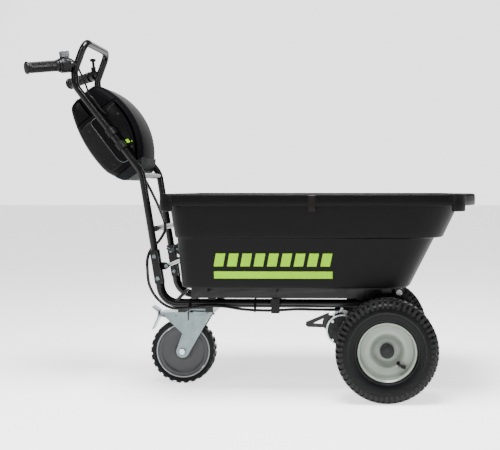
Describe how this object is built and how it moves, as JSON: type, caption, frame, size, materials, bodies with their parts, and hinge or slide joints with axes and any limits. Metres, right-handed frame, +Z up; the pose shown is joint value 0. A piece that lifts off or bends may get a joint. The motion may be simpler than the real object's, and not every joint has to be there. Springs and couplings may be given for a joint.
{
  "type": "power wheelbarrow",
  "caption": "Battery-powered wheelbarrow with a tipping plastic tub, two driven front wheels, a braked swivel caster, twist throttle and a battery housing between the handle tubes.",
  "frame": {"origin": "on the ground under the middle of the machine", "axes": "+X forward, +Y the machine's left, +Z up"},
  "size_m": [1.3902, 0.62, 1.096],
  "materials": {
    "frame_paint": "gloss black powder coat",
    "zinc": "zinc-plated, satin",
    "steel": "bright steel",
    "tub_plastic": "matte moulded black",
    "housing_plastic": "gloss black",
    "cap_plastic": "dark grey",
    "soft_plastic": "satin black",
    "pod_plastic": "grey",
    "button_plastic": "off-white",
    "grip_rubber": "matte black",
    "cable_sheath": "satin black",
    "tyre_rubber": "matte black",
    "rim_paint": "pale grey paint",
    "cap_black": "satin black",
    "caster_plastic": "dark grey",
    "caster_ring": "light grey",
    "lime": "printed lime green",
    "cast": "dark casting",
    "gear_steel": "machined",
    "copper": "wound copper",
    "battery_plastic": "dark grey",
    "alloy": "cast alloy"
  },
  "bodies": {
    "chassis": {"main_frame": "frame_paint", "handle_frame": "frame_paint", "joint_plates": "frame_paint", "frame_bolts": "zinc", "latch_bar": "zinc", "rest_buffers": "grip_rubber", "tub_hinge_pins": "steel", "housing_shell": "housing_plastic", "housing_cover": "housing_plastic", "housing_cap": "cap_plastic", "side_panels": "housing_plastic", "housing_clamps": "soft_plastic", "housing_screws": "steel", "battery_pack": "battery_plastic", "battery_socket": "soft_plastic", "controller": "alloy", "throttle_housing": "soft_plastic", "switch_pod": "pod_plastic", "left_grip": "grip_rubber", "left_clamp": "soft_plastic", "throttle_cable": "cable_sheath", "wiring_harness": "cable_sheath", "cable_ties": "soft_plastic", "gearbox_right": "cast", "gearbox_left": "cast", "gearbox_bolts": "steel", "axle_tubes": "frame_paint", "axle_bearings": "steel", "motor_can": "steel", "motor_cap": "cap_black", "motor_screws": "steel", "motor_bracket": "frame_paint", "caster_plate": "zinc"},
    "drive_axle": {"axle_shaft": "steel", "ring_gear": "gear_steel", "right_tyre": "tyre_rubber", "right_rim": "rim_paint", "right_hub_cap": "cap_black", "right_valve": "cable_sheath", "left_tyre": "tyre_rubber", "left_rim": "rim_paint", "left_hub_cap": "cap_black", "left_valve": "cable_sheath"},
    "idler": {"idler_gear": "gear_steel"},
    "rotor": {"motor_rotor": "copper"},
    "caster_swivel": {"caster_fork": "zinc", "caster_axle": "steel"},
    "caster_wheel": {"caster_core": "caster_plastic", "caster_rim": "caster_ring", "caster_tyre": "tyre_rubber"},
    "brake": {"brake_pedal": "zinc"},
    "tub": {"tub_shell": "tub_plastic", "tub_support": "frame_paint", "side_decals": "lime"},
    "latch": {"latch_hook": "zinc"},
    "twist_grip": {"throttle_sleeve": "soft_plastic", "right_grip": "grip_rubber"},
    "button": {"mode_button": "button_plastic"},
    "lever": {"direction_lever": "soft_plastic"},
    "lid": {"battery_lid": "housing_plastic"}
  },
  "joints": [
    {"name": "drive_spin", "type": "hinge", "parent": "chassis", "child": "drive_axle", "pos_m": [0.408, 0, 0.152], "axis": [0, 1, 0], "continuous": true},
    {"name": "idler_spin", "type": "hinge", "parent": "chassis", "child": "idler", "pos_m": [0.32509, 0, 0.17484], "axis": [0, 1, 0], "continuous": true},
    {"name": "rotor_spin", "type": "hinge", "parent": "chassis", "child": "rotor", "pos_m": [0.27303, 0, 0.18918], "axis": [0, 1, 0], "continuous": true},
    {"name": "caster_turn", "type": "hinge", "parent": "chassis", "child": "caster_swivel", "pos_m": [-0.182, 0, 0.235], "axis": [0, 0, 1], "continuous": true},
    {"name": "caster_roll", "type": "hinge", "parent": "caster_swivel", "child": "caster_wheel", "pos_m": [-0.241, 0, 0.104], "axis": [0, 1, 0], "continuous": true},
    {"name": "brake_press", "type": "hinge", "parent": "caster_swivel", "child": "brake", "pos_m": [-0.306, 0, 0.218], "axis": [0, 1, 0], "range_deg": [-14, 0]},
    {"name": "tub_tip", "type": "hinge", "parent": "chassis", "child": "tub", "pos_m": [0.449, 0, 0.309], "axis": [0, 1, 0], "range_deg": [0, 65]},
    {"name": "latch_close", "type": "hinge", "parent": "tub", "child": "latch", "pos_m": [-0.262, 0, 0.432], "axis": [0, 1, 0], "range_deg": [0, 30]},
    {"name": "throttle_twist", "type": "hinge", "parent": "chassis", "child": "twist_grip", "pos_m": [-0.63702, -0.18031, 1.00038], "axis": [-0.8202, -0.5531, -0.1462], "range_deg": [0, 60], "stiffness_Nm_per_rad": 0.25},
    {"name": "button_press", "type": "slide", "parent": "chassis", "child": "button", "axis": [0.1212, 0.0818, -0.9893], "range_m": [0, 0.002], "stiffness_N_per_m": 300},
    {"name": "direction_select", "type": "hinge", "parent": "chassis", "child": "lever", "pos_m": [-0.57923, 0.14134, 1.03494], "axis": [-0.5591, -0.8291, 0], "range_deg": [-20, 20]},
    {"name": "lid_open", "type": "hinge", "parent": "chassis", "child": "lid", "pos_m": [-0.43539, 0, 0.91677], "axis": [0, 1, 0], "range_deg": [0, 95]}
  ],
  "couplings": [
    {"joint": "idler_spin", "follows": "drive_spin", "ratio": -5.1429},
    {"joint": "rotor_spin", "follows": "drive_spin", "ratio": 25.714}
  ]
}
